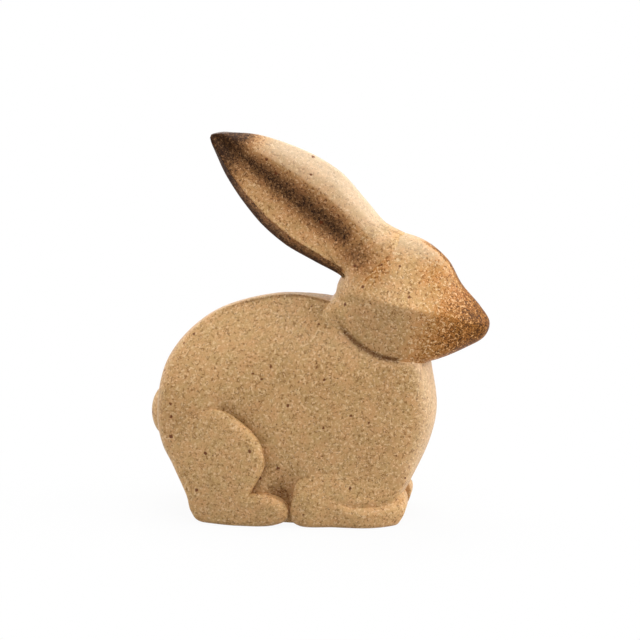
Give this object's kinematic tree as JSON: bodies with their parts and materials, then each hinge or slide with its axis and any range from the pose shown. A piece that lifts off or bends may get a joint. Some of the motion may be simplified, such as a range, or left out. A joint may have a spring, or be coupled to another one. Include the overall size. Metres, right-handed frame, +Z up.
{
  "type": "rabbit figurine",
  "caption": "Small wooden ornament in the shape of a crouching rabbit, flat-sided and softly carved, with long ears laid back over its back; stands on its own feet.",
  "frame": {"origin": "on the table, under the middle of the figure's bounding box", "axes": "+X forward to the nose, +Y to the rabbit's left, +Z up"},
  "size_m": [0.106, 0.046, 0.119],
  "materials": {
    "speckled_wood": "matte tan wood, finely speckled, nose stained brown",
    "stained_wood": "satin wood, stained dark brown at the tip, the lower edge and the hollow",
    "dowel_wood": "plain pale dowel, unseen"
  },
  "bodies": {
    "root": {"body": "speckled_wood", "head": "speckled_wood", "tail": "speckled_wood", "right_ear": "stained_wood", "left_ear": "stained_wood", "right_haunch": "speckled_wood", "left_haunch": "speckled_wood", "right_hind_foot": "speckled_wood", "left_hind_foot": "speckled_wood", "right_front_foot": "speckled_wood", "left_front_foot": "speckled_wood", "neck_dowel": "dowel_wood", "tail_dowel": "dowel_wood", "right_ear_dowel": "dowel_wood", "left_ear_dowel": "dowel_wood", "hip_dowel": "dowel_wood", "hind_foot_dowel": "dowel_wood", "front_foot_dowel": "dowel_wood"}
  },
  "joints": []
}
